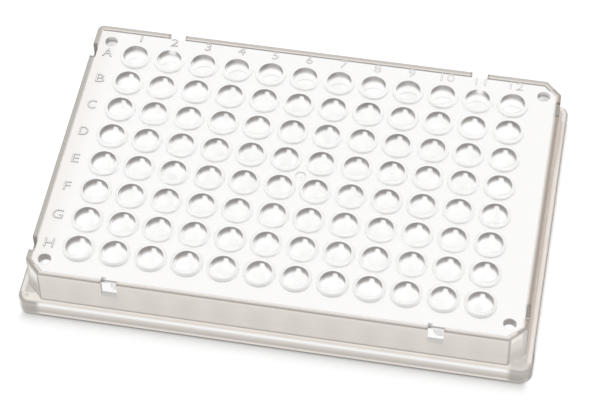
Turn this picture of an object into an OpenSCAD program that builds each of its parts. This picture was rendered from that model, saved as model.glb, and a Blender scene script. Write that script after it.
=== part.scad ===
// Skirted 96-well plate: one thin-walled moulding with a stacking flange, a drafted skirt, a deck
// with a raised lip, and a grid of tapered wells that hang from the deck.
// Millimetres. X runs along the columns, Y along the rows with row A at +Y, and Z points up.
// The origin is the centre of the footprint, on the plane that the flange stands on.

/* [Flange] */
// Length of the footprint
plate_l = 127.76; // [122:0.01:140]
// Width of the footprint
plate_w = 85.48; // [82:0.01:95]
// Radius of the footprint's corners
plate_corner_r = 3.2; // [1.5:0.1:6]
// Height of the flange's shelf
flange_h = 4.1; // [3:0.1:6]
// Rounding of the flange's outer shoulder
flange_edge_r = 0.7; // [0.3:0.1:1.2]
// Wall thickness of the flange
flange_t = 1.3; // [0.8:0.1:1.6]

/* [Skirt] */
// From the footprint's short sides in to the top of the skirt
skirt_inset_x = 2.38; // [1.5:0.02:4]
// From the footprint's long sides in to the top of the skirt
skirt_inset_y = 1.94; // [1.5:0.02:4]
// Wall thickness of the skirt
skirt_t = 1.3; // [0.8:0.1:1.6]
// Slope of the skirt wall, in degrees from the vertical
skirt_draft = 1.2; // [0.5:0.1:3]
// Leg of the cut at corners A12, H1 and H12
corner_cut = 4; // [2:0.1:6]
// Radius of the uncut corner A1
key_corner_r = 1.6; // [1:0.1:3]

/* [Deck] */
// Height of the deck's upper face
deck_z = 14.3; // [13:0.1:18]
// Thickness of the deck
deck_t = 1.2; // [0.8:0.1:2]
// Height of the lip above the deck
lip_h = 0.45; // [0.2:0.05:1]
// Width of the lip's flat top
lip_w = 0.95; // [0.5:0.05:1.5]
// Width of the slope from the lip down to the deck
lip_slope_w = 0.4; // [0.1:0.05:0.8]

/* [Wells] */
// Number of columns
columns = 12; // [2:1:12]
// Number of rows
rows = 8; // [2:1:8]
// Distance between neighbouring wells
pitch = 9; // [8.5:0.05:9.5]
// Inner diameter of a well's mouth
mouth_d = 6.3; // [5:0.1:6.6]
// Outer diameter of a well's rim
rim_d = 8.1; // [7.2:0.1:8.4]
// Height of the rim above the deck
rim_h = 1.2; // [0.5:0.1:2]
// Rounding of the rim's outer edge
rim_edge_r = 0.3; // [0.1:0.05:0.4]
// Depth of the straight bore below the rim
bore_depth = 4.8; // [3:0.1:6]
// Full depth of a well
well_depth = 14.5; // [12:0.1:14.9]
// Inner diameter of a well's flat tip
tip_d = 1.8; // [1:0.1:3]
// Height of the slope between the tip and the taper
tip_slope_h = 0.7; // [0.3:0.1:1.5]
// Slope of the taper's wall, in degrees from the well's axis
taper_angle = 10; // [8:0.1:12]
// Wall thickness of a well below the deck
well_t = 0.5; // [0.3:0.05:0.8]

/* [Notches] */
// Width of a notch
notch_w = 4; // [2:0.1:6]
// Distance between the two notches of a long side
notch_span_x = 80; // [40:1:100]
// Distance between the two notches of a short side
notch_span_y = 64; // [20:1:66]
// Depth of a notch below the lip's top
notch_h = 5.2; // [2:0.1:8]
// Reach of a notch into the deck, from the skirt's face
notch_reach = 2.1; // [1.6:0.1:2.4]

/* [Corner holes and gate mark] */
// Diameter of the four corner holes
hole_d = 3.1; // [2:0.1:3.6]
// From the skirt's short sides in to a corner hole's centre
hole_inset_x = 4.4; // [4:0.1:5.5]
// From the skirt's long sides in to a corner hole's centre
hole_inset_y = 4.9; // [4:0.1:6]
// Diameter of the round recess that the gate mark lies in
gate_d = 2.7; // [1.5:0.1:3.2]
// Depth of that recess
gate_depth = 0.25; // [0.1:0.05:0.5]
// Diameter of the gate's stub
stub_d = 0.9; // [0.5:0.1:1.2]

/* [Hidden] */
slab = 0.01;       // thickness of the outlines that a hull joins
past = 1;          // how far a cutter runs past the face it opens
well_fn = 64;      // facets of a full circle
corner_steps = 8;  // facets of a rounded corner
edge_steps = 3;    // facets of a rounded edge

skirt_l = plate_l - 2 * skirt_inset_x;
skirt_w = plate_w - 2 * skirt_inset_y;
hole_span_x = skirt_l - 2 * hole_inset_x;
hole_span_y = skirt_w - 2 * hole_inset_y;
lip_z = deck_z + lip_h;
rim_z = deck_z + rim_h;
under_deck_z = deck_z - deck_t;
shelf_under_z = flange_h - flange_t;
bore_end_z = rim_z - bore_depth;
tip_z = rim_z - well_depth;
taper_end_z = tip_z + tip_slope_h;
taper_end_r = mouth_d / 2 - (bore_end_z - taper_end_z) * tan(taper_angle);
skirt_foot_spread = (lip_z - flange_h) * tan(skirt_draft);

// Points of a quarter turn on a rounded outer edge that ends at radius r and height z.
function edge_arc(r, z, edge_r) = [
    for (i = [0:edge_steps]) let (a = 90 * i / edge_steps)
        [r - edge_r + edge_r * cos(a), z - edge_r + edge_r * sin(a)]
];

// Points of a quarter turn about a centre, from the angle start.
function arc(centre, r, start) = [
    for (i = [0:corner_steps]) let (a = start + 90 * i / corner_steps) centre + r * [cos(a), sin(a)]
];

// The profile of a well's outside, from its tip to its rim.
function outer_profile() = concat(
    [[0, tip_z - well_t], [tip_d / 2, tip_z - well_t]],
    [[taper_end_r + well_t, taper_end_z], [mouth_d / 2 + well_t, bore_end_z]],
    [[mouth_d / 2 + well_t, under_deck_z], [rim_d / 2, under_deck_z]],
    edge_arc(rim_d / 2, rim_z, rim_edge_r),
    [[0, rim_z]]
);

// The profile of a well's inside, from its tip to above its rim.
function inner_profile() = [
    [0, tip_z], [tip_d / 2, tip_z], [taper_end_r, taper_end_z],
    [mouth_d / 2, bore_end_z], [mouth_d / 2, rim_z + past], [0, rim_z + past]
];

// Places its children at every well.
module at_wells() {
    for (column = [0:columns - 1], row = [0:rows - 1])
        translate([(column - (columns - 1) / 2) * pitch, (row - (rows - 1) / 2) * pitch, 0])
            children();
}

// Places its children at the four corners of a rectangle.
module at_corners(span_x, span_y) {
    for (x = [-1, 1], y = [-1, 1]) translate([x * span_x / 2, y * span_y / 2, 0]) children();
}

// The footprint, moved inwards by inset.
module footprint(inset) {
    r = max(plate_corner_r - inset, slab);
    x = plate_l / 2 - inset - r;
    y = plate_w / 2 - inset - r;
    polygon(concat(arc([x, y], r, 0), arc([-x, y], r, 90), arc([-x, -y], r, 180), arc([x, -y], r, 270)));
}

// The skirt's outline, grown outwards by grow: three cut corners and a round one at A1.
module skirt_outline(grow) {
    x = skirt_l / 2 + grow;
    y = skirt_w / 2 + grow;
    cut = corner_cut + grow * (2 - sqrt(2));
    r = max(key_corner_r + grow, slab);
    polygon(concat(
        [[x, y - cut], [x - cut, y]],
        arc([r - x, y - r], r, 90),
        [[-x, cut - y], [cut - x, -y], [x - cut, -y], [x, cut - y]]
    ));
}

// A thin slice of the skirt's outline at height z.
module skirt_slice(z, grow) {
    translate([0, 0, z]) linear_extrude(slab) skirt_outline(grow);
}

// The flange as a solid block with a rounded shoulder.
module flange_block() {
    hull() {
        linear_extrude(slab) footprint(0);
        for (p = edge_arc(0, flange_h, flange_edge_r))
            translate([0, 0, p[1] - slab]) linear_extrude(slab) footprint(-p[0]);
    }
}

// The skirt as a solid block, wider at its foot by the draft.
module skirt_block() {
    hull() {
        skirt_slice(0, skirt_foot_spread);
        skirt_slice(flange_h, skirt_foot_spread);
        skirt_slice(lip_z - slab, 0);
    }
}

// The hollow under the deck, inside the skirt wall.
module skirt_hollow() {
    hull() {
        skirt_slice(-past, skirt_foot_spread - skirt_t);
        skirt_slice(flange_h, skirt_foot_spread - skirt_t);
        skirt_slice(under_deck_z - slab, -skirt_t);
    }
}

// The hollow of the flange, under its shelf.
module flange_hollow() {
    translate([0, 0, -past]) linear_extrude(shelf_under_z + past) footprint(flange_t);
}

// The sunken field inside the lip, with sloping sides.
module deck_field() {
    hull() {
        skirt_slice(deck_z, -lip_w - lip_slope_w);
        skirt_slice(lip_z, -lip_w);
    }
}

// The eight notches through the lip, the deck's edge and the top of the skirt wall.
module notches() {
    depth = notch_reach + past;
    height = notch_h + past;
    for (side = [-1, 1], end = [-1, 1]) {
        translate([end * notch_span_x / 2, side * (skirt_w / 2 - notch_reach + depth / 2), lip_z - notch_h])
            linear_extrude(height) square([notch_w, depth], center = true);
        translate([side * (skirt_l / 2 - notch_reach + depth / 2), end * notch_span_y / 2, lip_z - notch_h])
            linear_extrude(height) square([depth, notch_w], center = true);
    }
}

// The four holes through the corners of the deck.
module corner_holes() {
    at_corners(hole_span_x, hole_span_y)
        translate([0, 0, under_deck_z - past]) cylinder(d = hole_d, h = deck_t + 2 * past, $fn = well_fn);
}

// The ring-shaped recess of the gate mark, around the stub.
module gate_mark() {
    translate([0, 0, deck_z - gate_depth]) difference() {
        cylinder(d = gate_d, h = gate_depth + past, $fn = well_fn);
        translate([0, 0, -past]) cylinder(d = stub_d, h = gate_depth + past, $fn = well_fn);
    }
}

// The skirt, deck and flange without the wells.
module frame() {
    difference() {
        union() {
            flange_block();
            skirt_block();
        }
        flange_hollow();
        skirt_hollow();
        deck_field();
        notches();
        corner_holes();
        gate_mark();
    }
}

// The whole plate.
module plate() {
    color("whitesmoke") difference() {
        union() {
            frame();
            at_wells() rotate_extrude($fn = well_fn) polygon(outer_profile());
        }
        at_wells() rotate_extrude($fn = well_fn) polygon(inner_profile());
    }
}

plate();
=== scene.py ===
from math import cos, degrees, pi, radians, sin

import bmesh
import bpy
import numpy as np
from bpy.props import FloatProperty, FloatVectorProperty, PointerProperty
from mathutils import Matrix, Vector


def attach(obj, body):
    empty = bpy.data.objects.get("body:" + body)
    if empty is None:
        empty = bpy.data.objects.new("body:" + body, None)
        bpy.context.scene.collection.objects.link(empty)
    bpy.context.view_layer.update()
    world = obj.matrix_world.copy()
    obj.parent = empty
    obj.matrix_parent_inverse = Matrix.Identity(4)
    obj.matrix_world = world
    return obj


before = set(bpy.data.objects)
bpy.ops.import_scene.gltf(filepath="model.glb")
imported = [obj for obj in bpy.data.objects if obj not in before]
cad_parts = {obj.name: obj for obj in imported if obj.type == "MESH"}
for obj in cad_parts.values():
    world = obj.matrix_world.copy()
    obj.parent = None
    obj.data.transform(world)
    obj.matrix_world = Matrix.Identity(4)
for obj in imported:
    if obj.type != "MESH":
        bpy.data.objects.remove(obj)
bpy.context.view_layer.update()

bl_info = {
    "name": "Skirted Well Plate",
    "version": (1, 0, 0),
    "blender": (4, 5, 0),
    "location": "View3D > Sidebar > Well Plate",
    "description": "Finishes a clear moulded well plate, with its raised letters and numbers, in a pale studio",
    "category": "Object",
}

# Sizes and places of the moulding in millimetres, from its middle and from the plane that it stands on.
MM = 0.001
COLUMNS, ROWS, PITCH = 12, 8, 9.0
GRID_X, GRID_Y = COLUMNS / 2 * PITCH, ROWS / 2 * PITCH  # half length and half width of the grid of wells
LAST_X, LAST_Y = GRID_X - PITCH, GRID_Y - PITCH         # where the last column and the last row begin
MOUTH_R, RIM_R = 3.15, 4.05      # inner and outer radius of a well's collar
SKIRT_X, SKIRT_Y = 61.5, 40.8    # half length and half width of the skirt's top
CORNER_CUT = 98.3                # |x| + |y| along the three cut corners
KEY_X, KEY_Y, KEY_R = 59.9, 39.2, 1.6       # centre and radius of the round corner at A1
FOOT_X, FOOT_Y, FOOT_R = 60.68, 39.54, 3.2  # centre and radius of the footprint's corners
SHELF_Z = 4.1                    # top of the flange
UNDER_DECK_Z = 13.1
DECK_Z = 14.3
LIP_Z = 14.75
RIM_Z = 15.5                     # tops of the wells' collars
SILL_Z = 9.55                    # foot of the notches
NOTCH = 4.0                      # width of a notch in the lip
NOTCH_X, NOTCH_Y = 40.0, 32.0    # middles of the notches on the long sides and on the ends
TAB_OUTER = 1.35                 # from the skirt's top face in to the edge of the deck in a notch
TAB_EDGE = 0.08                  # rounding of that edge
TAB_INNER = 2.1                  # from the skirt's top face in to the back of a tab
HOLE_X, HOLE_Y, HOLE_R = 57.1, 35.9, 1.55   # centres and radius of the corner holes
COLLAR_R = 2.3                   # outer radius of a corner hole's collar
COLLAR_H = 1.1                   # how far that collar hangs below the deck
COLLAR_EDGE = 0.1                # bevel of its outer foot
LETTER_X = -57.2                 # middles of the row letters
LETTER_RISE = 0.5                # how far a row letter sits behind the middle of its row
NUMBER_Y = 38.2                  # middles of the column numbers
MARK_EDGE = 0.12                 # rounding of the raised marks' edges
FLOOR_DROP = 0.02                # how far the floor lies below the plate's foot
AIM = (1.3826, -8.4994, 15.0)    # point that the camera looks at

# Widths of the marks as multiples of the font's own, and the height of its capitals as a share of its size.
LETTER_STRETCH = {"A": 0.96, "B": 1.2, "C": 0.91, "D": 0.9, "E": 1.15, "F": 1.15, "G": 1.1, "H": 1.0}
NUMBER_STRETCH = 1.15
CAPITAL_SHARE = 0.7


# ---------------------------------------------------------------- properties

class PlasticFinish(bpy.types.PropertyGroup):
    """Colours, painted shade tints and gloss of the moulded plastic."""
    tint: FloatVectorProperty(name="Tint", description="Colour of the deck and the wells", subtype="COLOR", size=3,
                              min=0, max=1, default=(0.966, 0.959, 0.952))
    # The wells' tint is lighter than the deck's: painted light for what shines through their thin walls.
    well_tint: FloatVectorProperty(name="Well tint", description="Colour of the wells' inner walls",
                                   subtype="COLOR", size=3, min=0, max=1, default=(0.99, 0.985, 0.98))
    frame_tint: FloatVectorProperty(name="Frame tint", description="Colour of the lip, the skirt and the flange",
                                    subtype="COLOR", size=3, min=0, max=1, default=(0.955, 0.89, 0.83))
    # The next two tints are the colours of painted shade. The plate's greys stand in for how light and shade fall
    # through the clear plastic, thick places included, and the right-hand skirt's shade is browner.
    painted_shade_tint: FloatVectorProperty(name="Smoke tint", description="Colour that thick places turn towards",
                                    subtype="COLOR", size=3, min=0, max=1, default=(0.195, 0.177, 0.164))
    end_painted_shade_tint: FloatVectorProperty(name="End smoke tint", description="The same for the right-hand skirt",
                                        subtype="COLOR", size=3, min=0, max=1, default=(0.165, 0.095, 0.045))
    mark_tint: FloatVectorProperty(name="Mark tint", description="Colour of the raised marks' tops",
                                   subtype="COLOR", size=3, min=0, max=1, default=(0.92, 0.905, 0.895))
    # The marks' edge tint is painted shade down their rounded edges.
    mark_edge_shade_tint: FloatVectorProperty(name="Mark edge tint", description="Colour of the raised marks' edges",
                                        subtype="COLOR", size=3, min=0, max=1, default=(0.27, 0.255, 0.245))
    roughness: FloatProperty(name="Roughness", description="Roughness of the moulded skin", subtype="FACTOR",
                             min=0, max=1, default=0.2)
    clearness: FloatProperty(name="Clearness", description="Share of light that passes one face of the plastic",
                             subtype="FACTOR", min=0, max=1, default=0.985)
    edge_clearness: FloatProperty(name="Edge clearness", description="The same for the lip, the skirt and the flange",
                                  subtype="FACTOR", min=0, max=1, default=0.96)


class MarkSizes(bpy.types.PropertyGroup):
    """Sizes of the raised row letters and column numbers."""
    letter_height: FloatProperty(name="Letter height", description="Height of a row letter", unit="LENGTH",
                                 min=0.001, max=0.003, default=0.0028)
    number_height: FloatProperty(name="Number height", description="Height of a column number", unit="LENGTH",
                                 min=0.001, max=0.003, default=0.0026)
    relief: FloatProperty(name="Relief", description="How far the marks stand above the deck", unit="LENGTH",
                          min=0.00013, max=0.0004, default=0.00018)


class StudioView(bpy.types.PropertyGroup):
    """Camera and light of the studio."""
    azimuth: FloatProperty(name="Azimuth", description="Turn of the camera round the plate", subtype="ANGLE",
                           default=radians(11.2037515))
    elevation: FloatProperty(name="Elevation", description="Height of the camera above the horizon",
                             subtype="ANGLE", default=radians(52.4051707))
    roll: FloatProperty(name="Roll", description="Turn of the camera about its line of sight", subtype="ANGLE",
                        default=radians(-1.2196384))
    distance: FloatProperty(name="Distance", description="From the camera to the point that it looks at",
                            unit="LENGTH", default=0.5550737)
    lens: FloatProperty(name="Lens", description="Focal length of the camera in millimetres", default=134.2042)
    light: FloatProperty(name="Light", description="Level of the soft light from above", min=0, max=4,
                         default=1.0)


# ---------------------------------------------------------------- levels and shaders

class Level:
    """A number that nodes work out at each point of a surface. Its + - * and / each make one Math node."""

    def __init__(self, tree, socket):
        self.tree = tree
        self.socket = socket

    def work(self, operation, *values):
        """One Math node over the values, which are numbers or levels."""
        node = self.tree.nodes.new("ShaderNodeMath")
        node.operation = operation
        for socket, value in zip(node.inputs, values):
            feed(self.tree, socket, value)
        return Level(self.tree, node.outputs[0])

    def __add__(self, other):
        return self.work("ADD", self, other)

    def __radd__(self, other):
        return self.work("ADD", other, self)

    def __sub__(self, other):
        return self.work("SUBTRACT", self, other)

    def __rsub__(self, other):
        return self.work("SUBTRACT", other, self)

    def __mul__(self, other):
        return self.work("MULTIPLY", self, other)

    def __truediv__(self, other):
        return self.work("DIVIDE", self, other)


def feed(tree, socket, value):
    """Sets a socket to a number or a colour, or links a level or another socket to it."""
    if isinstance(value, Level):
        value = value.socket
    if isinstance(value, bpy.types.NodeSocket):
        tree.links.new(value, socket)
    else:
        socket.default_value = value


def absolute(value):
    """The value without its sign."""
    return value.work("ABSOLUTE", value)


def fraction(value):
    """The part of the value that is over its next lower whole number."""
    return value.work("FRACT", value)


def sign(value):
    """-1, 0 or 1."""
    return value.work("SIGN", value)


def above(value, limit):
    """1 where the value is over the limit, and 0 elsewhere."""
    return value.work("GREATER_THAN", value, limit)


def below(value, limit):
    """1 where the value is under the limit, and 0 elsewhere."""
    return value.work("LESS_THAN", value, limit)


def larger(first, second):
    """The larger of two values."""
    return first.work("MAXIMUM", first, second)


def distance(along, across):
    """Length of the slanting side of a right-angled triangle."""
    return along.work("SQRT", along * along + across * across)


def slide(value, low, high, first, last):
    """A smooth step: first where the value is under low, last where it is over high."""
    node = value.tree.nodes.new("ShaderNodeMapRange")
    node.interpolation_type = "SMOOTHSTEP"
    for name, number in (("Value", value), ("From Min", low), ("From Max", high), ("To Min", first), ("To Max", last)):
        feed(value.tree, node.inputs[name], number)
    return Level(value.tree, node.outputs["Result"])


def rise(value, low, high):
    """0 where the value is under low, rising smoothly to 1 over high."""
    return slide(value, low, high, 0.0, 1.0)


def fall(value, low, high):
    """1 where the value is under low, falling smoothly to 0 over high."""
    return slide(value, low, high, 1.0, 0.0)


def band(value, low, high, soft):
    """1 between low and high, falling to 0 over soft on both sides."""
    return rise(value, low - soft, low + soft) * fall(value, high - soft, high + soft)


def curve(value, *stops):
    """Straight lines between the stops, each a place on the value's scale and the level there."""
    low, high = stops[0][0], stops[-1][0]
    node = value.tree.nodes.new("ShaderNodeMapRange")
    for name, number in (("Value", value), ("From Min", low), ("From Max", high)):
        feed(value.tree, node.inputs[name], number)
    greys = value.tree.nodes.new("ShaderNodeValToRGB")
    value.tree.links.new(node.outputs["Result"], greys.inputs[0])
    elements = greys.color_ramp.elements
    while len(elements) < len(stops):
        elements.new(0.5)
    for element, (place, level) in zip(elements, stops):
        element.position = (place - low) / (high - low)
        element.color = (level, level, level, 1)
    return Level(value.tree, greys.outputs[0])


def choose(share, first, second):
    """first where the share is 0, second where it is 1."""
    node = share.tree.nodes.new("ShaderNodeMix")
    node.data_type = "FLOAT"
    for socket, value in zip((node.inputs[0], node.inputs[2], node.inputs[3]), (share, first, second)):
        feed(share.tree, socket, value)
    return Level(share.tree, node.outputs[0])


def blend_colour(share, first, second):
    """A mix of two colours: first where the share is 0, second where it is 1."""
    node = share.tree.nodes.new("ShaderNodeMix")
    node.data_type = "RGBA"
    feed(share.tree, node.inputs[0], share)
    for socket, colour in ((node.inputs[6], first), (node.inputs[7], second)):
        feed(share.tree, socket, colour if isinstance(colour, bpy.types.NodeSocket) else (*colour, 1))
    return node.outputs[2]


def mix_shaders(share, first, second):
    """The first shader where the share is 0, the second where it is 1."""
    node = share.tree.nodes.new("ShaderNodeMixShader")
    for socket, value in zip(node.inputs, (share, first, second)):
        feed(share.tree, socket, value)
    return node.outputs[0]


def add_shaders(tree, first, second):
    """The light of two shaders together."""
    node = tree.nodes.new("ShaderNodeAddShader")
    for socket, value in zip(node.inputs, (first, second)):
        feed(tree, socket, value)
    return node.outputs[0]


def plain_shader(tree, kind, **values):
    """The output of one shader node, with the given values on its own sockets."""
    node = tree.nodes.new(kind)
    for name, value in values.items():
        feed(tree, node.inputs[name], value)
    return node.outputs[0]


def object_place(tree):
    """The three levels of a point's place on its own object, in millimetres."""
    coords = tree.nodes.new("ShaderNodeTexCoord")
    scaled = tree.nodes.new("ShaderNodeVectorMath")
    scaled.operation = "SCALE"
    scaled.inputs["Scale"].default_value = 1 / MM
    split = tree.nodes.new("ShaderNodeSeparateXYZ")
    tree.links.new(coords.outputs["Object"], scaled.inputs[0])
    tree.links.new(scaled.outputs[0], split.inputs[0])
    return [Level(tree, socket) for socket in split.outputs]


def new_material(name):
    """A material with an empty node tree: the material, its tree and its surface socket."""
    material = bpy.data.materials.new(name)
    material.use_nodes = True
    tree = material.node_tree
    tree.nodes.clear()
    return material, tree, tree.nodes.new("ShaderNodeOutputMaterial").inputs["Surface"]


def moulded_skin(tree, colour, finish):
    """The plastic's glossy surface."""
    skin = tree.nodes.new("ShaderNodeBsdfPrincipled")
    tree.links.new(colour, skin.inputs["Base Color"])
    skin.inputs["Roughness"].default_value = finish.roughness
    skin.inputs["IOR"].default_value = 1.5
    return skin.outputs[0]


# ---------------------------------------------------------------- painted shades of the plate

class PlatePlace:
    """Where a point of the plate lies, in millimetres.

    x, y and z are the point, ax and ay its distances from the middle. u and v are its place in its own well's
    square, r its distance from the well's axis, and depth how far it lies below the rims. end, side and cut are its
    distances outside the skirt's ends, sides and cut corners at the skirt's top, skirt is the distance outside all
    of that outline, and facet is above 0 on a cut corner. foot is the distance outside the footprint, and qx and qy
    tell how far the point lies past the centre of the footprint's nearest corner. along_notch is its place along a
    notch, from the notch's middle. The others are 1 in the part of the plate that they name, and 0 elsewhere."""

    def __init__(self, tree):
        self.x, self.y, self.z = object_place(tree)
        self.ax, self.ay = absolute(self.x), absolute(self.y)
        self.u, self.v = ((fraction(place / PITCH) - 0.5) * PITCH for place in (self.x, self.y))
        self.r = distance(self.u, self.v)
        self.depth = RIM_Z - self.z
        self.grid = below(self.ax, GRID_X) * below(self.ay, GRID_Y)

        # The skirt's top outline: its ends, its sides, three corners cut at 45 degrees, and the round one, where
        # the cut doesn't count.
        self.end = self.ax - SKIRT_X
        self.side = self.ay - SKIRT_Y
        straight = larger(self.end, self.side)
        key_corner = below(self.x, 0.0) * above(self.y, 0.0)
        self.cut = (self.ax + self.ay - CORNER_CUT) * 0.7071 - key_corner * 90.0
        kx, ky = larger(self.ax - KEY_X, 0.0), larger(self.ay - KEY_Y, 0.0)
        rounding = key_corner * above(kx * ky, 0.0) * larger(distance(kx, ky) - KEY_R - straight, 0.0)
        self.skirt = larger(straight + rounding, self.cut)
        self.facet = self.cut - straight

        # The footprint's outline, with its four round corners.
        self.qx, self.qy = larger(self.ax - FOOT_X, 0.0), larger(self.ay - FOOT_Y, 0.0)
        self.foot = distance(self.qx, self.qy) - FOOT_R

        # The parts of the plate.
        self.on_end = rise(self.end - self.side, -0.4, 0.4)
        self.at_right = rise(self.x, -1.0, 1.0)
        self.at_front = fall(self.y, -1.0, 1.0)
        self.back_row = above(self.y, LAST_Y)
        self.front_row = below(self.y, -LAST_Y)
        self.on_top = rise(self.z, DECK_Z - 0.1, DECK_Z - 0.02)
        self.in_wall = rise(self.skirt, -0.12, -0.02)
        self.flange_corner = rise(self.ax, 57.4, 59.2) * rise(self.ay, 38.84, 39.84) * self.at_front
        self.left_margin = self.on_top * fall(self.x, -59.5, -54.0) * fall(self.skirt, -1.6, -1.4)
        self.along_notch = choose(self.on_end, self.x - sign(self.x) * NOTCH_X, self.y - sign(self.y) * NOTCH_Y)
        self.tube = self.grid * fall(self.r, RIM_R + 0.05, RIM_R + 0.15)
        self.tube = self.tube * fall(self.z, UNDER_DECK_Z - 0.2, UNDER_DECK_Z + 0.1)

        # A well's inner wall, to just under its rim, and to the very edge on the outer side of the end columns.
        outermost = above(sign(self.x) * self.u, slide(self.ax, LAST_X - 0.1, LAST_X + 0.1, PITCH, 0.3))
        below_rim = larger(outermost, fall(self.z, RIM_Z - 0.04, RIM_Z - 0.01))
        self.in_well = self.grid * fall(self.r, MOUTH_R + 0.02, MOUTH_R + 0.07) * below_rim


def lip_shade(at):
    """Painted shade across the lip and its inner slope, from the deck out to the skirt's face, different on each side
    as the light falls there.
    """
    front = curve(at.skirt, (-1.8, 0.0), (-1.4, 0.04), (-1.15, 0.07), (-0.85, 0.09), (-0.6, 0.25), (-0.35, 0.42),
                  (-0.12, 0.60), (0.0, 0.80))
    back = curve(at.skirt, (-1.8, 0.0), (-1.4, 0.0), (-1.2, 0.0), (-0.99, 0.0), (-0.91, 0.40), (-0.85, 0.44),
                 (-0.6, 0.49), (-0.2, 0.55), (0.0, 0.68))
    left = curve(at.skirt, (-1.8, 0.0), (-1.45, 0.0), (-1.3, 0.13), (-1.15, 0.37), (-1.0, 0.43), (-0.93, 0.54),
                 (-0.75, 0.63), (-0.5, 0.58), (-0.2, 0.63), (0.0, 0.80))
    right = curve(at.skirt, (-1.8, 0.0), (-1.45, 0.0), (-1.3, 0.06), (-1.15, 0.12), (-1.0, 0.22), (-0.93, 0.34),
                  (-0.7, 0.58), (-0.5, 0.72), (-0.2, 0.73), (0.0, 0.79))
    return choose(at.on_end, choose(at.at_front, back, front), choose(at.at_right, left, right))


def skirt_shade(at):
    """Painted shade down the skirt wall from its foot up: a dark line near the foot, bars of shade where the wells
    behind show through the clear wall, darker ends, and its cut corners.
    """
    along = choose(at.on_end, at.x, at.y)
    painted_bars = (along - 6.0) * (2 * pi / PITCH)
    wells_behind = fall(absolute(along), choose(at.on_end, GRID_X - 4.0, GRID_Y - 4.0),
                        choose(at.on_end, GRID_X, GRID_Y))
    painted_bars = painted_bars.work("COSINE", painted_bars) * wells_behind * rise(at.z, 4.6, 6.0) * fall(at.z, 12.0, 13.0)
    side = curve(at.z, (SHELF_Z, 0.1), (4.3, 0.52), (4.5, 0.68), (4.7, 0.44), (4.95, 0.20), (5.5, 0.21), (8.0, 0.26),
                 (10.0, 0.24), (13.0, 0.23), (13.5, 0.17), (14.15, 0.18), (14.45, 0.68), (LIP_Z, 0.80))
    end = curve(at.z, (SHELF_Z, 0.575), (4.5, 0.60), (6.5, 0.67), (8.5, 0.735), (10.5, 0.79), (12.5, 0.82),
                (LIP_Z, 0.84))
    end = choose(at.at_right * at.at_front * rise(at.ay, 29.0, 35.0), end, 0.83)
    wall = choose(at.on_end, side, end) + painted_bars * 0.028
    right = curve(at.z, (SHELF_Z, 0.24), (5.0, 0.28), (6.0, 0.33), (7.0, 0.35), (8.2, 0.28), (9.2, 0.22),
                  (12.0, 0.18), (12.6, 0.02), (13.7, 0.02), (14.2, 0.26), (14.5, 0.48), (LIP_Z, 0.55))
    left = curve(at.z, (SHELF_Z, 0.62), (5.5, 0.53), (8.2, 0.51), (9.0, 0.38), (10.0, 0.22), (11.0, 0.11),
                 (12.0, 0.0), (12.9, 0.0), (13.3, 0.28), (13.7, 0.70), (14.2, 0.84), (LIP_Z, 0.80))
    corner = larger(choose(at.at_right, left, right), rise(at.end - at.side, 1.6, 2.4) * 0.40)
    return choose(rise(at.facet, 0.0, 0.1), wall, corner)


def shelf_shade(at):
    """Painted shade over the flange's shelf and rounded shoulder, from the skirt's foot out: a painted highlight left
    white along the shoulder of the long sides, darker round the front corners, and a small painted dark spot at its
    left corner.
    """
    side = curve(at.foot, (-5.0, 0.16), (-2.4, 0.20), (-1.85, 0.12), (-1.7, 0.02), (-1.6, 0.06), (-1.4, 0.15),
                 (-1.2, 0.25), (-0.95, 0.23), (-0.65, 0.14), (-0.5, 0.0), (-0.15, 0.0), (0.0, 0.24))
    end = curve(at.foot, (-5.0, 0.35), (-2.1, 0.44), (-1.75, 0.52), (-1.5, 0.23), (-1.2, 0.19), (-0.95, 0.12),
                (-0.7, 0.18), (-0.45, 0.62), (-0.2, 0.90), (0.0, 0.60))
    right_back = curve(at.foot, (-5.0, 0.30), (-2.1, 0.34), (-1.75, 0.46), (-1.4, 0.42), (-1.15, 0.33),
                       (-0.95, 0.20), (-0.7, 0.22), (-0.45, 0.62), (-0.2, 0.88), (0.0, 0.60))
    end = choose(at.at_right * rise(at.y, 18.0, 30.0) * fall(at.y, 36.5, 37.8), end, right_back)
    right_corner = curve(at.foot, (-5.0, 0.38), (-2.2, 0.42), (-1.8, 0.36), (-1.4, 0.33), (-1.0, 0.37), (-0.7, 0.60),
                         (-0.45, 0.69), (-0.2, 0.54), (0.0, 0.57))
    left_corner = curve(at.foot, (-5.0, 0.05), (-2.2, 0.14), (-1.8, 0.08), (-1.4, 0.14), (-1.0, 0.38), (-0.7, 0.69),
                        (-0.45, 0.75), (-0.2, 0.62), (0.0, 0.57))
    shelf = choose(at.flange_corner, choose(at.on_end, side, end), choose(at.at_right, left_corner, right_corner))
    # A small painted dark spot near the shelf's left front corner.
    spot = distance(at.x + 61.66, at.y + 40.23)
    return shelf + slide(spot, 0.2, 0.9, 0.26, 0.0)


def flange_shade(at):
    """Painted shade on the flange's upright face from its foot up: a dark line at the foot under a painted bright
    line, darker front corners with a painted gleam round the left one, and the shelf above it.
    """
    face = curve(at.z, (0.0, 0.95), (0.22, 0.80), (0.42, 0.28), (0.62, 0.0), (0.95, 0.02), (1.2, 0.32), (1.5, 0.47),
                 (2.1, 0.46), (2.6, 0.35), (3.1, 0.28), (3.5, 0.25), (3.8, 0.1))
    corner = curve(at.z, (0.0, 0.75), (0.3, 0.50), (0.7, 0.50), (1.0, 0.66), (2.4, 0.66), (3.4, 0.60), (3.8, 0.57))
    round_corner = at.qx - at.qy
    # A painted gleam lightens the left corner where it turns to the end, and painted shade darkens the right one.
    corner = corner * (1.0 - rise(round_corner, -1.1, 0.5) * slide(at.x, -1.0, 1.0, 0.9, 0.0))
    corner = corner + at.at_right * rise(round_corner, -0.8, 2.0) * 0.34
    by_corner = at.at_front * at.at_right * at.on_end * rise(at.ay, 33.0, 37.5)
    face = choose(larger(at.flange_corner, by_corner), face, corner)
    return choose(rise(at.z, 3.75, 3.95), face, shelf_shade(at))


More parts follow.
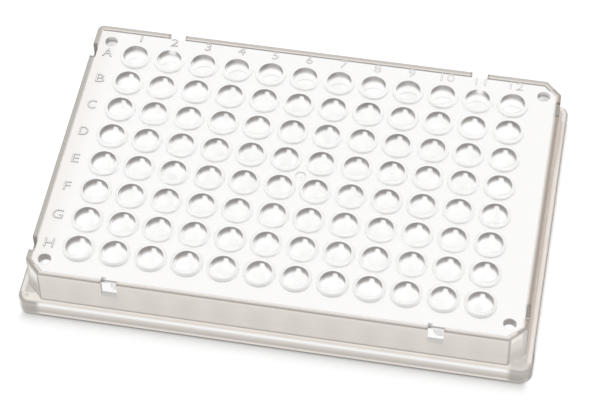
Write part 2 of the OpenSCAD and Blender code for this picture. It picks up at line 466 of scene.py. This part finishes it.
def with_edge_lines(at, shade):
    """Adds painted shade: thin dark lines along the skirt's corner edges, and a dark lip over the left cut corner."""
    left_lip_shade = rise(at.facet, -0.1, 0.1) * at.at_front * fall(at.x, -1.0, 1.0)
    left_lip_shade = left_lip_shade * rise(at.z, LIP_Z - 0.3, LIP_Z - 0.05) * rise(at.skirt, -1.0, -0.3)
    shade = larger(shade, left_lip_shade * 0.78)
    near_edge = larger(band(at.side - at.cut, -0.55, 0.05, 0.1), band(at.end - at.cut, -0.25, 0.05, 0.08))
    line = near_edge * at.in_wall * rise(at.z, SHELF_Z, SHELF_Z + 0.2)
    return larger(shade, line * slide(at.x, -1.0, 1.0, 0.78, 0.56))


def with_notches(at, shade):
    """Adds painted shade on the cut faces of the notches: dark down their sides, grey on the sill, and nearly white
    across the deck's own edge, with a dark line along its foot and a dark patch at its left end, where the dark side
    face shows through the clear deck. Lines of painted shade also run just under the sill and along the lip's ends
    beside a notch."""
    from_middle = absolute(at.along_notch)
    at_notch = fall(from_middle, NOTCH / 2 - 0.02, NOTCH / 2 + 0.02)
    sides = band(at.skirt, -1.34, -0.04, 0.02) * band(at.z, SILL_Z + 0.07, LIP_Z - 0.15, 0.02)
    sides = sides * above(at.skirt, choose(at.on_end, -1.34, -1.02))
    sides = sides * (1.0 - band(at.skirt, -1.42, -1.22, 0.02) * below(at.z, 13.0))
    sides_grey = choose(at.on_end, 0.74, choose(at.at_right, 0.93, choose(at.at_front, 0.60, 0.72)))
    shade = larger(shade, sides * sides_grey)
    deck_edge = band(at.skirt, -1.5, -1.28, 0.02) * band(at.z, UNDER_DECK_Z, DECK_Z - 0.03, 0.02) * at_notch
    deck_edge_grey = curve(at.z, (UNDER_DECK_Z, 0.0), (13.4, 0.03), (13.6, 0.40), (13.8, 0.80), (14.0, 0.80),
                           (14.15, 0.5), (DECK_Z, 0.2))
    left_shade_patch = slide(at.along_notch, -1.7, -0.5, 0.85, 0.0) * rise(at.along_notch, -2.3, -2.0) * at.at_front
    left_shade_patch = left_shade_patch * (1.0 - at.on_end)
    shade = choose(deck_edge, shade, larger(deck_edge_grey, left_shade_patch))
    shade = larger(shade, left_shade_patch * at.on_top * band(at.skirt, -2.0, -1.3, 0.25) * 0.8)
    sill = band(at.z, SILL_Z - 0.05, SILL_Z + 0.05, 0.02) * band(at.skirt, -1.4, 0.05, 0.05) * at_notch
    sill_grey = curve(at.skirt, (-1.4, 0.68), (-1.1, 0.60), (-0.6, 0.53), (-0.1, 0.53), (0.1, 0.40))
    shade = choose(sill, shade, sill_grey)
    below_sill = at.in_wall * band(at.z, SILL_Z - 0.35, SILL_Z + 0.05, 0.15)
    below_sill = below_sill * fall(from_middle, NOTCH / 2 - 0.1, NOTCH / 2 + 0.1)
    lip_end = rise(at.z, DECK_Z, DECK_Z + 0.2) * rise(at.skirt, -1.3, -1.1)
    lip_end = lip_end * band(from_middle, NOTCH / 2 - 0.1, NOTCH / 2 + 0.5, 0.15)
    return shade + below_sill * 0.1 + lip_end * choose(at.at_front, 0.24, 0.12)


def mouth_shade(at):
    """Painted shade on the inner wall of a well's collar: grey down to the thin wall below the deck, reaching deeper
    in the front rows, with painted light where the deck joins it to the wells behind, beside or before it, and where
    light comes through a notch behind the back row. The back row has a faint painted line lower down, and the front
    row a greyer near side. off_back is the angle round the wall from the back of the well, in degrees."""
    grey = curve(at.depth * (1.0 + at.y * 0.0022), (0.0, 0.78), (0.4, 0.90), (0.8, 0.92), (1.2, 0.90), (1.6, 0.80),
                 (2.0, 0.58), (2.4, 0.23), (2.8, 0.05), (3.1, 0.0), (3.4, 0.0))
    turn = at.v.work("ARCTAN2", at.v, at.u)
    off_back = absolute(turn - radians(86)) * degrees(1)
    behind = fall(off_back - at.depth * 4.0, 0.0, choose(below(at.u, 0.0), 8.0, 12.0)) * (1.0 - at.back_row)
    has_neighbour = choose(above(at.u, 0.0), above(at.x, -LAST_X), below(at.x, LAST_X))
    beside = fall(absolute(at.v), 0.3, 1.7) * has_neighbour
    before = fall(absolute(at.u), 0.25, 0.7) * below(at.v, 0.0) * above(at.y, -LAST_Y)
    light_through = larger(larger(behind, beside), before) * rise(at.depth, 0.6, 1.3)
    grey = grey * (1.0 - light_through)
    notch_light = at.back_row * band(at.ax, NOTCH_X - 3.0, NOTCH_X + 4.0, 0.5)
    notch_light = notch_light * slide(off_back, 5.0, 25.0, 0.88, 0.0) * slide(at.depth, 0.9, 2.0, 1.0, 0.35)
    grey = grey * (1.0 - notch_light)
    grey = grey * (1.0 - at.back_row * fall(off_back, 15.0, 45.0) * 0.2)
    grey = grey + at.back_row * band(at.depth, 4.55, 4.95, 0.2) * 0.22
    return grey + at.front_row * fall(at.v, -1.5, -0.5) * band(at.depth, 1.2, 5.0, 0.4) * 0.22


def with_collars(at, shade):
    """Adds painted shade on the wells' collars: a thin grey line under the rounded edge, strongest on the side that
    faces the camera, a darker front rim on the front row, and rims that grey a little at their sides, more so towards
    the front."""
    line = curve(at.z, (14.2, 0.08), (14.35, 0.13), (14.55, 0.26), (14.8, 0.42), (15.05, 0.18), (15.25, 0.03),
                 (RIM_Z, 0.0))
    # The cosine with the camera's direction across the plate, so that the painted shade lies on the camera's side.
    camera_facing = (at.u * 0.2 - at.v * 0.98) / at.r
    near = curve(camera_facing, (-1.0, 0.15), (0.3, 0.18), (0.6, 0.33), (0.8, 0.60), (0.95, 0.88), (1.0, 1.0))
    on_rim = at.grid * fall(at.r, RIM_R - 0.05, RIM_R + 0.01)
    front_rim_shade = at.front_row * on_rim * near * rise(at.r, 3.5, 3.9) * rise(at.z, RIM_Z - 0.5, RIM_Z - 0.3)
    rim_side_shade = on_rim * rise(at.z, RIM_Z - 0.2, RIM_Z - 0.1) * rise(absolute(at.u) / at.r, 0.5, 0.9)
    rim_side_shade = rim_side_shade * (0.065 - at.y * 0.0015)
    on_collar = at.grid * rise(at.r, RIM_R - 0.15, RIM_R - 0.1) * fall(at.r, RIM_R + 0.03, RIM_R + 0.07)
    on_collar = on_collar * rise(at.z, DECK_Z - 0.3, DECK_Z - 0.1)
    shade = larger(larger(shade, front_rim_shade * 0.28), rim_side_shade)
    shade = larger(shade, line * near * on_collar)
    return choose(at.in_well, shade, mouth_shade(at))


def with_holes(at, shade):
    """Adds painted shade: a grey ring round the gate mark, darker on its far side where its recess is in shade, and
    the corner holes with their grey rims, darker towards the plate's edge and to the left. The wall of a front hole is
    dark all over, and the wall of a back hole is dark down its left and in a band at the height of the deck's
    underside."""
    ring = band(distance(at.x, at.y), 1.12, 1.38, 0.12) * slide(at.y, 0.2, 0.9, 0.22, 0.42)
    shade = larger(shade, ring * rise(at.z, DECK_Z - 0.4, DECK_Z - 0.3))
    hx, hy = at.ax - HOLE_X, at.ay - HOLE_Y
    hole = distance(hx, hy)
    at_left = fall(hx * sign(at.x), -1.2, -0.5)
    rim = at.on_top * band(hole, HOLE_R - 0.05, HOLE_R + 0.17, 0.04) * slide(hy * sign(at.y), -0.4, 0.8, 0.1, 0.55)
    shade = larger(shade, rim * (1.0 + at_left * 0.4))
    back_hole_shade = curve(at.z, (12.0, 0.0), (12.4, 0.10), (12.7, 0.40), (12.9, 0.72), (13.1, 0.78), (13.35, 0.70),
                      (13.65, 0.42), (14.0, 0.36), (DECK_Z, 0.60))
    back_hole_shade = larger(back_hole_shade, at_left * rise(at.z, 12.5, 12.8) * 0.82)
    in_hole = fall(hole, HOLE_R + 0.02, HOLE_R + 0.07) * fall(at.z, DECK_Z - 0.08, DECK_Z - 0.01)
    return choose(in_hole, shade, choose(at.at_front, back_hole_shade, 0.82))


def plate_shade(at):
    """The whole plate's painted shade, 0 for white and 1 for the painted shade tint: greys that stand in for how light
    and shade fall in the clear plastic.
    """
    lip = lip_shade(at)
    outside = choose(rise(at.z, SHELF_Z, SHELF_Z + 0.06), flange_shade(at), skirt_shade(at))
    outside = choose(rise(at.z, LIP_Z - 0.15, LIP_Z - 0.01), outside, lip)
    shade = choose(at.in_wall, at.on_top * lip, outside)
    for add_detail in (with_edge_lines, with_notches, with_collars, with_holes):
        shade = add_detail(at, shade)

    # The deck's left margin is a little darker.
    return shade + at.left_margin * 0.05


def plate_colour(at, finish):
    """The tints of the deck, the frame and the wells, turned towards the painted shade tint by the painted shade."""
    # The frame's warm tint is left off the flange's shoulder, so that its painted highlight stays white.
    shoulder = rise(at.foot, -0.65, -0.5) * rise(at.z, 3.4, 3.6) * (1.0 - at.flange_corner)
    warm = rise(at.skirt, -1.5, -0.9) * larger(at.in_wall, at.on_top) * (1.0 - shoulder)
    colour = blend_colour(larger(warm, at.left_margin * 0.4), finish.tint, finish.frame_tint)
    # The wells turn lighter down deep: painted light for what shines through their thin walls.
    painted_deep_light = larger(at.tube, at.in_well * rise(at.depth, 2.0, 3.2))
    colour = blend_colour(painted_deep_light, colour, finish.well_tint)
    # The right-hand skirt's painted shade turns browner, and smoke is the colour of the painted shade.
    right_end_shade_hue = at.on_end * at.at_right * slide(at.z, LIP_Z - 0.15, LIP_Z, 1.0, 0.7) * rise(at.skirt, -1.1, -0.9)
    right_end_shade_hue = right_end_shade_hue * rise(at.z, 3.8, 4.2) * fall(at.facet, -0.1, 0.0)
    smoke = blend_colour(right_end_shade_hue, finish.painted_shade_tint, finish.end_painted_shade_tint)
    return blend_colour(plate_shade(at), colour, smoke)


def lit_from_above(tree):
    """A white wall that takes its light from above on either of its sides, as through the clear deck."""
    halves = []
    for kind, up in (("ShaderNodeBsdfDiffuse", 1.0), ("ShaderNodeBsdfTranslucent", -1.0)):
        axis = tree.nodes.new("ShaderNodeCombineXYZ")
        axis.inputs["Z"].default_value = up
        halves.append(plain_shader(tree, kind, Color=(1, 1, 1, 1), Normal=axis.outputs[0]))
    return add_shaders(tree, *halves)


# ---------------------------------------------------------------- materials

def plastic_material(finish):
    """Clear glossy plastic: white over the deck and down the wells, and greyed by painted shade over its lip, skirt
    and flange and round the wells' mouths.

    What is seen is the glossy skin in the plate's colour. Light from the lamps and the sky passes partly through
    every wall, and light that has bounced meets the wells' thin walls lit from above."""
    material, tree, surface = new_material("clear_plastic")
    at = PlatePlace(tree)
    skin = moulded_skin(tree, plate_colour(at, finish), finish)
    clear = plain_shader(tree, "ShaderNodeBsdfTransparent", Color=(1, 1, 1, 1))

    # The flange's foot holds the light back, up to 2 mm high along the front and only 0.1 mm elsewhere.
    dark_foot = choose(at.at_front * (1.0 - at.on_end), 0.1, 2.0)
    light_share = choose(rise(at.skirt, -1.5, -1.1), finish.clearness,
                         rise(at.z, dark_foot, dark_foot + 0.4) * finish.edge_clearness)
    passing = mix_shaders(light_share, skin, clear)
    scattered = mix_shaders(at.tube, passing, lit_from_above(tree))
    rays = tree.nodes.new("ShaderNodeLightPath")
    seen = mix_shaders(Level(tree, rays.outputs["Is Diffuse Ray"]), skin, scattered)
    feed(tree, surface, mix_shaders(Level(tree, rays.outputs["Is Shadow Ray"]), seen, passing))
    return material


def marks_material(finish):
    """The raised marks: nearly the deck's white on top, with painted shade dark down their edges that grows fainter
    towards the right.
    """
    material, tree, surface = new_material("raised_marks")
    geometry = tree.nodes.new("ShaderNodeNewGeometry")
    split = tree.nodes.new("ShaderNodeSeparateXYZ")
    tree.links.new(geometry.outputs["Normal"], split.inputs[0])
    upright = rise(Level(tree, split.outputs["Z"]), 0.9, 0.995)
    shade_fade = slide(object_place(tree)[0], -55.0, 30.0, 0.0, 0.48)
    colour = blend_colour(shade_fade, blend_colour(upright, finish.mark_edge_shade_tint, finish.mark_tint), finish.tint)
    feed(tree, surface, moulded_skin(tree, colour, finish))
    return material


def floor_material():
    """White paper for the camera, for mirrors and for what is seen through the plate, and pale grey for the light.

    Under the clear plate it glows white, painted light in place of the shade that falls there, and a soft contact
    shadow painted into its colour deepens along the plate's front edge."""
    material, tree, surface = new_material("floor_paper")
    material.cycles.emission_sampling = "NONE"
    x, y, _ = object_place(tree)
    qx, qy = larger(absolute(x) - FOOT_X, 0.0), larger(y * -1.0 - FOOT_Y, 0.0)
    reach = distance(qx, qy)
    ahead = rise(qy / larger(reach, 0.01), 0.75, 1.0)
    # A painted contact shadow, strongest right at the plate's front foot.
    painted_contact_shadow = curve(reach - FOOT_R, (0.0, 0.55), (0.2, 0.44), (0.5, 0.315), (0.8, 0.247), (1.2, 0.225), (1.8, 0.16),
                (2.5, 0.12), (3.5, 0.08), (5.0, 0.04), (7.0, 0.0))
    white = blend_colour(painted_contact_shadow * ahead, (1, 1, 1), (0, 0, 0))
    bright = add_shaders(tree, plain_shader(tree, "ShaderNodeBsdfDiffuse", Color=white),
                         plain_shader(tree, "ShaderNodeEmission", Strength=0.1))
    # Under the plate the floor glows white for the camera: painted light.
    under = slide(absolute(x), 60.5, 61.0, 0.9, 0.0) * slide(absolute(y), 39.5, 40.0, 0.9, 0.0)
    bright = mix_shaders(under, bright, plain_shader(tree, "ShaderNodeEmission", Strength=0.98))
    paper = plain_shader(tree, "ShaderNodeBsdfDiffuse", Color=(0.86, 0.86, 0.86, 1))
    rays = tree.nodes.new("ShaderNodeLightPath")
    camera, glossy, through = (Level(tree, rays.outputs[name])
                               for name in ("Is Camera Ray", "Is Glossy Ray", "Is Transmission Ray"))
    feed(tree, surface, mix_shaders(larger(larger(camera, glossy), through), paper, bright))
    return material


def studio_world(light):
    """A soft sky: brightest overhead, greyer towards the horizon."""
    world = bpy.data.worlds.new("studio")
    world.use_nodes = True
    tree = world.node_tree
    tree.nodes.clear()
    coords = tree.nodes.new("ShaderNodeTexCoord")
    split = tree.nodes.new("ShaderNodeSeparateXYZ")
    tree.links.new(coords.outputs["Generated"], split.inputs[0])
    sky = curve(Level(tree, split.outputs["Z"]), (0.0, 0.6), (1.0, 1.0))
    out = tree.nodes.new("ShaderNodeOutputWorld")
    feed(tree, out.inputs["Surface"], plain_shader(tree, "ShaderNodeBackground", Color=sky, Strength=light * 1.15))
    return world


# ---------------------------------------------------------------- pieces

def add_piece(name, points, faces, material):
    """One object out of points and faces, with its material, riding on the plate."""
    mesh = bpy.data.meshes.new(name)
    mesh.from_pydata(points.tolist(), [], faces)
    mesh.materials.append(bpy.data.materials[material])
    piece = bpy.data.objects.new(name, mesh)
    bpy.context.scene.collection.objects.link(piece)
    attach(piece, "root")
    return piece


def tube_faces(steps, rings, closed):
    """Four-sided faces between rings of points: each ring has the given number of steps and closes on itself, and
    with closed the last ring joins the first."""
    step, ring = np.meshgrid(np.arange(steps), np.arange(rings if closed else rings - 1))
    after, beyond = (step + 1) % steps, (ring + 1) % rings
    corners = (ring * steps + step, beyond * steps + step, beyond * steps + after, ring * steps + after)
    return np.stack(corners, -1).reshape(-1, 4).tolist()


def mesh_from_text(body, height, stretch, relief, place):
    """A mark as a closed mesh at its place: the text's outline carried up by the relief, with its edge rounded
    over, and as far down into the deck."""
    outline = bpy.data.curves.new("mark", "FONT")
    outline.body = body
    outline.align_x = "CENTER"
    outline.align_y = "CENTER"
    outline.size = height / CAPITAL_SHARE
    outline.extrude = relief - MARK_EDGE * MM
    outline.bevel_depth = MARK_EDGE * MM
    outline.offset = -MARK_EDGE * MM
    outline.resolution_u = 3
    outline.space_character = 1.1
    text = bpy.data.objects.new("mark", outline)
    bpy.context.scene.collection.objects.link(text)
    bpy.context.view_layer.update()
    mesh = bpy.data.meshes.new_from_object(text.evaluated_get(bpy.context.evaluated_depsgraph_get()))
    bpy.data.objects.remove(text)
    bpy.data.curves.remove(outline)

    # The text's top and bottom come apart from its edges, so their shared points are merged, and its faces turned
    # outwards where a rounded edge folds over in a tight corner.
    merged = bmesh.new()
    merged.from_mesh(mesh)
    bmesh.ops.remove_doubles(merged, verts=merged.verts, dist=1e-7)
    bmesh.ops.recalc_face_normals(merged, faces=merged.faces)
    merged.to_mesh(mesh)
    merged.free()
    mesh.materials.clear()
    mesh.transform(Matrix.Translation(place) @ Matrix.Diagonal((stretch, 1, 1, 1)))
    return mesh


def add_marks(name, meshes):
    """One piece out of the meshes of several marks."""
    points, faces, start = [], [], 0
    for mesh in meshes:
        co = np.empty(len(mesh.vertices) * 3, np.float32)
        mesh.vertices.foreach_get("co", co)
        points.append(co.reshape(-1, 3))
        faces += [[v + start for v in p.vertices] for p in mesh.polygons]
        start += len(mesh.vertices)
        bpy.data.meshes.remove(mesh)
    return add_piece(name, np.concatenate(points), faces, "raised_marks")


# ---------------------------------------------------------------- operators

class PLATE_OT_moulding(bpy.types.Operator):
    """Give the moulded plate its clear glossy plastic"""
    bl_idname = "plate.moulding"
    bl_label = "Finish the Moulding"

    def execute(self, context):
        finish = context.scene.plastic_finish
        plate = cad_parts["plate"]
        plate.data.materials.clear()
        plate.data.materials.append(plastic_material(finish))

        # The letters and numbers find their own material by its name.
        marks_material(finish)
        return {"FINISHED"}


class PLATE_OT_tabs(bpy.types.Operator):
    """Carry the deck on to the foot of the lip in each of the eight notches"""
    bl_idname = "plate.tabs"
    bl_label = "Deck Tabs"

    def execute(self, context):
        # Section of a tab, with a rounded upper edge: how far it lies outside the skirt's top face, which is below 0
        # for all of it, and its height.
        turn = np.linspace(0, pi / 2, 5)[:, None]
        edge = (-TAB_OUTER, DECK_Z) + TAB_EDGE * (np.hstack([np.cos(turn), np.sin(turn)]) - 1)
        foot = [(-TAB_INNER, UNDER_DECK_Z), (-TAB_OUTER, UNDER_DECK_Z)]
        section = np.concatenate([foot, edge, [(-TAB_INNER, DECK_Z)]])
        count = len(section)
        points, faces = [], []
        for span, half, axis in ((NOTCH_X, SKIRT_Y, 1), (NOTCH_Y, SKIRT_X, 0)):
            for side in (-1, 1):
                outward = np.zeros(3)
                outward[axis] = side
                sideways = np.cross((0, 0, 1), outward)
                for place in (-span, span):
                    # A point is the section's point, carried outwards and up, at either end of the notch.
                    flat = outward * (half + section[:, :1]) + np.array([0, 0, 1]) * section[:, 1:]
                    flat[:, 1 - axis] += place
                    start = len(points) * 2 * count
                    points.append(np.concatenate([flat - sideways * NOTCH / 2, flat + sideways * NOTCH / 2]))
                    faces += (np.array(tube_faces(count, 2, False)) + start).tolist()
                    faces.append(list(range(start, start + count)))
                    faces.append(list(range(start + 2 * count - 1, start + count - 1, -1)))
        add_piece("deck_tabs", np.concatenate(points) * MM, faces, "clear_plastic")
        return {"FINISHED"}


class PLATE_OT_collars(bpy.types.Operator):
    """Hang a short collar from the deck round each corner hole"""
    bl_idname = "plate.collars"
    bl_label = "Corner Hole Collars"

    def execute(self, context):
        # Section of a collar, turned about the hole's axis: distance from the axis, and height.
        foot = UNDER_DECK_Z - COLLAR_H
        section = np.array([(HOLE_R, foot), (COLLAR_R - COLLAR_EDGE, foot), (COLLAR_R, foot + COLLAR_EDGE),
                            (COLLAR_R, UNDER_DECK_Z), (HOLE_R, UNDER_DECK_Z)])
        steps = 64
        turn = np.linspace(0, 2 * pi, steps, endpoint=False)[:, None]
        radius, height = section.T
        collar = np.stack([radius * np.cos(turn), radius * np.sin(turn), height + 0 * turn], -1).reshape(-1, 3)
        points, faces = [], []
        for x, y in ((-1, -1), (-1, 1), (1, -1), (1, 1)):
            faces += (np.array(tube_faces(len(section), steps, True)) + len(points) * len(collar)).tolist()
            points.append(collar + (x * HOLE_X, y * HOLE_Y, 0))
        add_piece("hole_collars", np.concatenate(points) * MM, faces, "clear_plastic")
        return {"FINISHED"}


class PLATE_OT_letters(bpy.types.Operator):
    """Raise the row letters along the left side of the deck"""
    bl_idname = "plate.letters"
    bl_label = "Row Letters"

    def execute(self, context):
        sizes = context.scene.mark_sizes
        meshes = []
        for row, (letter, stretch) in enumerate(LETTER_STRETCH.items()):
            y = ((ROWS - 1) / 2 - row) * PITCH + LETTER_RISE
            place = Vector((LETTER_X, y, DECK_Z)) * MM
            meshes.append(mesh_from_text(letter, sizes.letter_height, stretch, sizes.relief, place))
        add_marks("row_letters", meshes)
        return {"FINISHED"}


class PLATE_OT_numbers(bpy.types.Operator):
    """Raise the column numbers along the back of the deck"""
    bl_idname = "plate.numbers"
    bl_label = "Column Numbers"

    def execute(self, context):
        sizes = context.scene.mark_sizes
        meshes = []
        for column in range(COLUMNS):
            place = Vector(((column - (COLUMNS - 1) / 2) * PITCH, NUMBER_Y, DECK_Z)) * MM
            meshes.append(mesh_from_text(str(column + 1), sizes.number_height, NUMBER_STRETCH, sizes.relief, place))
        add_marks("column_numbers", meshes)
        return {"FINISHED"}


class PLATE_OT_studio(bpy.types.Operator):
    """Set up the pale floor, the soft light and the camera"""
    bl_idname = "plate.studio"
    bl_label = "Studio"

    def execute(self, context):
        view = context.scene.studio_view
        scene = context.scene
        scene.view_settings.view_transform = "Standard"

        mesh = bpy.data.meshes.new("floor")
        mesh.from_pydata([(-2, -2, 0), (2, -2, 0), (2, 2, 0), (-2, 2, 0)], [], [(0, 1, 2, 3)])
        mesh.materials.append(floor_material())
        floor = bpy.data.objects.new("floor", mesh)
        scene.collection.objects.link(floor)
        floor.location.z = -FLOOR_DROP * MM
        scene.world = studio_world(view.light)

        # The camera looks at a point on the plate from the stated turn, height and distance.
        data = bpy.data.cameras.new("camera")
        data.lens = view.lens
        data.sensor_width = 36
        data.clip_start, data.clip_end = 0.01, 20
        camera = bpy.data.objects.new("camera", data)
        scene.collection.objects.link(camera)
        backwards = Vector((sin(view.azimuth) * cos(view.elevation), -cos(view.azimuth) * cos(view.elevation),
                            sin(view.elevation)))
        level = Vector((cos(view.azimuth), sin(view.azimuth), 0))
        upright = backwards.cross(level)
        right = level * cos(view.roll) + upright * sin(view.roll)
        up = backwards.cross(right)
        stand = Matrix((right, up, backwards)).transposed().to_4x4()
        stand.translation = Vector(AIM) * MM + backwards * view.distance
        camera.matrix_world = stand
        scene.camera = camera
        return {"FINISHED"}


class PLATE_PT_panel(bpy.types.Panel):
    """Panel of the well plate tools"""
    bl_label = "Well Plate"
    bl_idname = "PLATE_PT_panel"
    bl_space_type = "VIEW_3D"
    bl_region_type = "UI"
    bl_category = "Well Plate"

    def draw(self, context):
        layout = self.layout
        for group in GROUPS:
            box = layout.box()
            values = getattr(context.scene, group)
            for name in values.bl_rna.properties.keys():
                if name not in ("rna_type", "name"):
                    box.prop(values, name)
        for operator in OPERATORS:
            layout.operator(operator.bl_idname)


GROUPS = {"plastic_finish": PlasticFinish, "mark_sizes": MarkSizes, "studio_view": StudioView}
OPERATORS = (PLATE_OT_moulding, PLATE_OT_tabs, PLATE_OT_collars, PLATE_OT_letters, PLATE_OT_numbers, PLATE_OT_studio)


def register():
    """Registers the properties, the operators and the panel."""
    for name, group in GROUPS.items():
        bpy.utils.register_class(group)
        setattr(bpy.types.Scene, name, PointerProperty(type=group))
    for cls in (*OPERATORS, PLATE_PT_panel):
        bpy.utils.register_class(cls)


def unregister():
    """Takes the panel, the operators and the properties away again."""
    for cls in (PLATE_PT_panel, *reversed(OPERATORS)):
        bpy.utils.unregister_class(cls)
    for name, group in reversed(GROUPS.items()):
        delattr(bpy.types.Scene, name)
        bpy.utils.unregister_class(group)


def main():
    """Registers the tools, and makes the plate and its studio."""
    register()
    bpy.ops.plate.moulding()
    bpy.ops.plate.tabs()
    bpy.ops.plate.collars()
    bpy.ops.plate.letters()
    bpy.ops.plate.numbers()
    bpy.ops.plate.studio()


if __name__ == "__main__":
    main()
